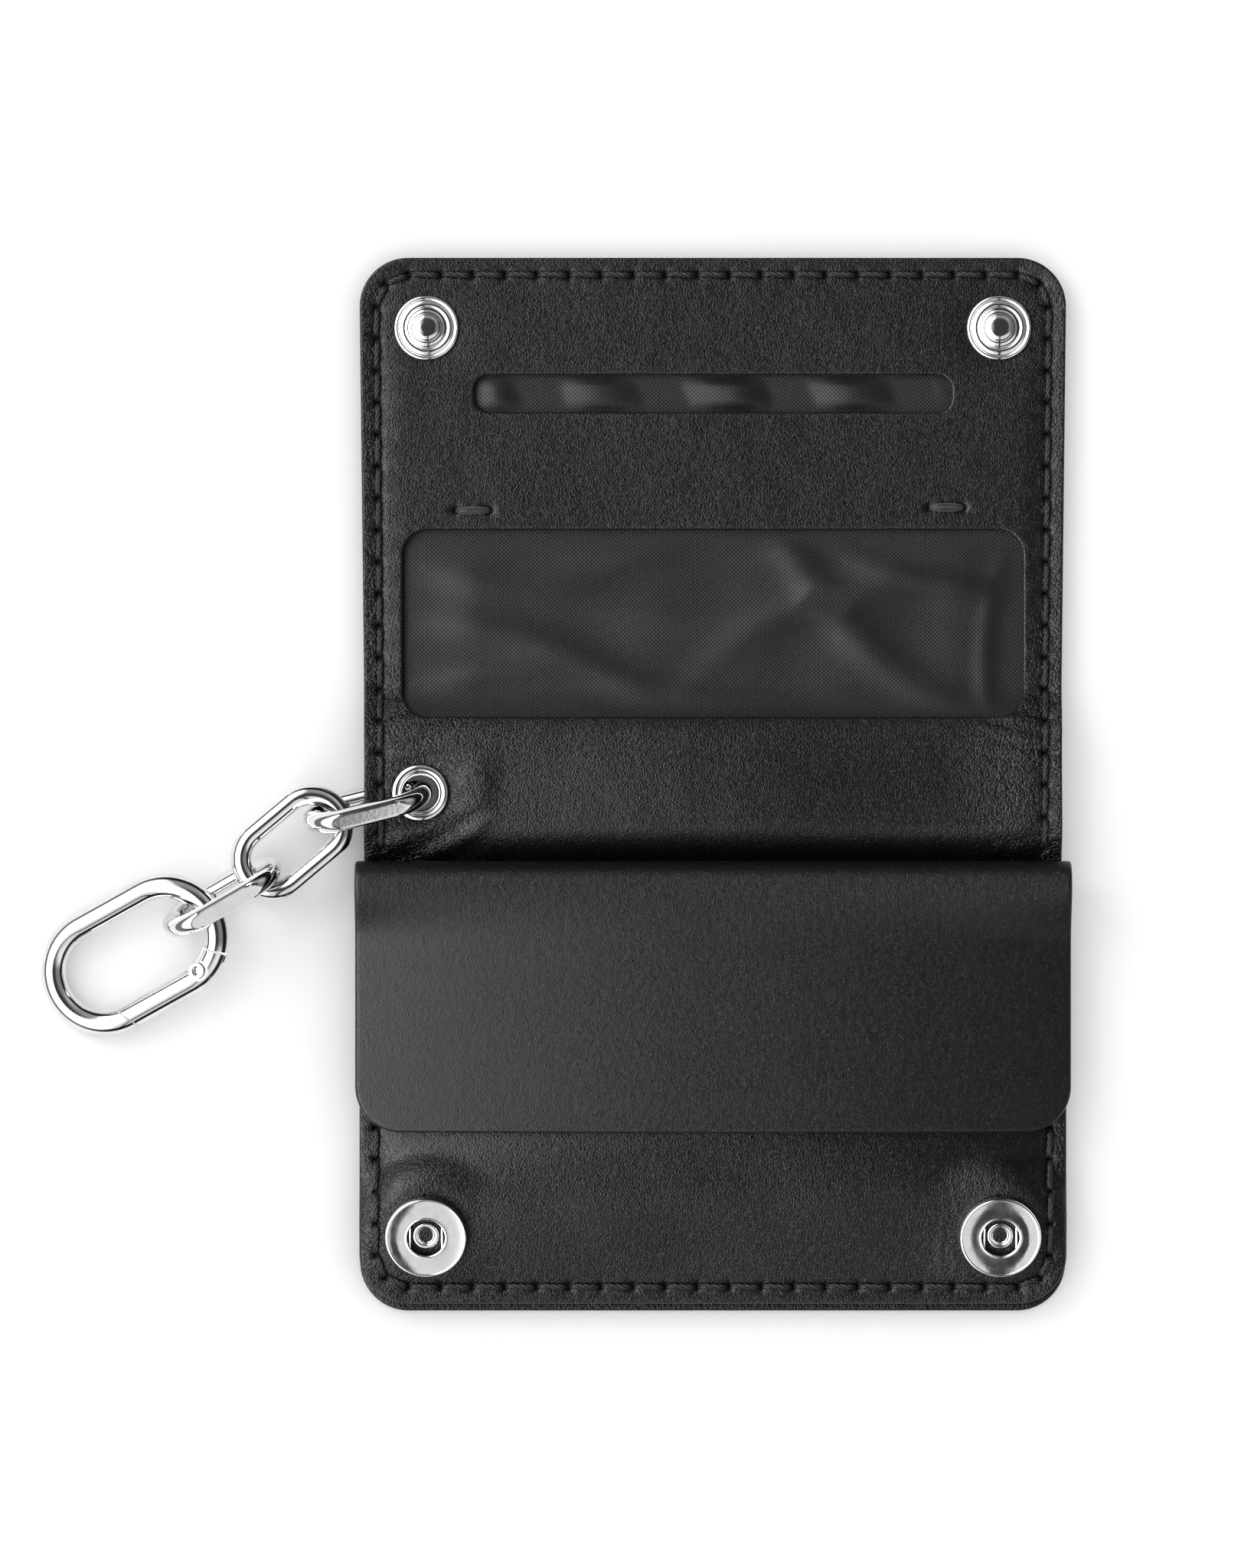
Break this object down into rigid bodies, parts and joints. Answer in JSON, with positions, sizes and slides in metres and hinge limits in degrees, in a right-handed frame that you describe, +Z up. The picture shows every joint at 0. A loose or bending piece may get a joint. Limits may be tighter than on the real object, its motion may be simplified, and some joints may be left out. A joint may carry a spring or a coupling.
{
  "type": "chain wallet",
  "caption": "Bifold leather wallet lying open, with a flapped coin pocket, a card pocket with a window, snaps, and a short chain to a gated ring.",
  "frame": {"origin": "centre of the coin half's flat underside, on the table", "axes": "+X to the wallet's right with the card half away from the viewer, +Y from the coin half to the card half, +Z up from the table"},
  "size_m": [0.1582, 0.162, 0.0123],
  "materials": {
    "leather": "fine pebbled, satin",
    "lining": "woven, matte",
    "thread": "twisted, waxed",
    "nickel": "polished"
  },
  "bodies": {
    "lower": {"cover_lower": "leather", "pocket_back": "leather", "pocket_front": "leather", "flap_back": "leather", "thread_lower": "thread", "thread_neck_left": "thread", "thread_neck_right": "thread", "socket_left": "nickel", "socket_right": "nickel", "socket_cap_left": "nickel", "socket_cap_right": "nickel", "socket_spring_left_inner": "nickel", "socket_spring_left_outer": "nickel", "socket_spring_right_inner": "nickel", "socket_spring_right_outer": "nickel"},
    "flap": {"pocket_flap": "leather"},
    "spine": {"cover_spine": "leather", "panel_spine": "leather", "eyelet": "nickel", "eyelet_washer": "nickel", "thread_spine_left": "thread", "thread_spine_right": "thread"},
    "upper": {"cover_upper": "leather", "card_lining": "lining", "card_panel": "leather", "thread_upper": "thread", "tack_left": "thread", "tack_right": "thread", "stud_left": "nickel", "stud_right": "nickel", "stud_post_left": "nickel", "stud_post_right": "nickel"},
    "link_1": {"link_1": "nickel"},
    "link_2": {"link_2": "nickel"},
    "link_3": {"link_3": "nickel"},
    "carabiner": {"carabiner_body": "nickel", "gate_rivet": "nickel"},
    "gate": {"gate": "nickel", "gate_spring": "nickel"}
  },
  "joints": [
    {"name": "lower_fold", "type": "hinge", "parent": "lower", "child": "spine", "pos_m": [0, 0.0415, 0.0069], "axis": [1, 0, 0], "range_deg": [0, 93.5]},
    {"name": "upper_fold", "type": "hinge", "parent": "spine", "child": "upper", "pos_m": [0, 0.0547, 0.0069], "axis": [1, 0, 0], "range_deg": [0, 93.5]},
    {"name": "flap_hinge", "type": "hinge", "parent": "lower", "child": "flap", "pos_m": [0, 0.03213, 0.01015], "axis": [1, 0, 0], "range_deg": [-140, 0]},
    {"name": "link_1_swivel", "type": "hinge", "parent": "spine", "child": "link_1", "pos_m": [-0.0449, 0.04625, 0.0062], "axis": [0, 0, 1], "range_deg": [-35, 3]},
    {"name": "link_2_swivel", "type": "hinge", "parent": "link_1", "child": "link_2", "pos_m": [-0.06144, 0.0422, 0.00619], "axis": [0, 0, 1], "range_deg": [-40, 25]},
    {"name": "link_3_pitch", "type": "hinge", "parent": "link_2", "child": "link_3", "pos_m": [-0.07126, 0.03301, 0.0055], "axis": [-0.6428, 0.766, 0], "range_deg": [-30, 35]},
    {"name": "carabiner_swivel", "type": "hinge", "parent": "link_3", "child": "carabiner", "pos_m": [-0.08283, 0.02595, 0.00619], "axis": [0.1294, -0.2241, 0.9659], "range_deg": [-9, 30]},
    {"name": "gate_hinge", "type": "hinge", "parent": "carabiner", "child": "gate", "pos_m": [-0.0789, 0.01907, 0.00456], "axis": [0.1066, 0.0591, -0.9925], "range_deg": [0, 28], "stiffness_Nm_per_rad": 0.002, "springref_deg": -11.46}
  ],
  "couplings": [
    {"joint": "upper_fold", "follows": "lower_fold", "ratio": 1}
  ]
}
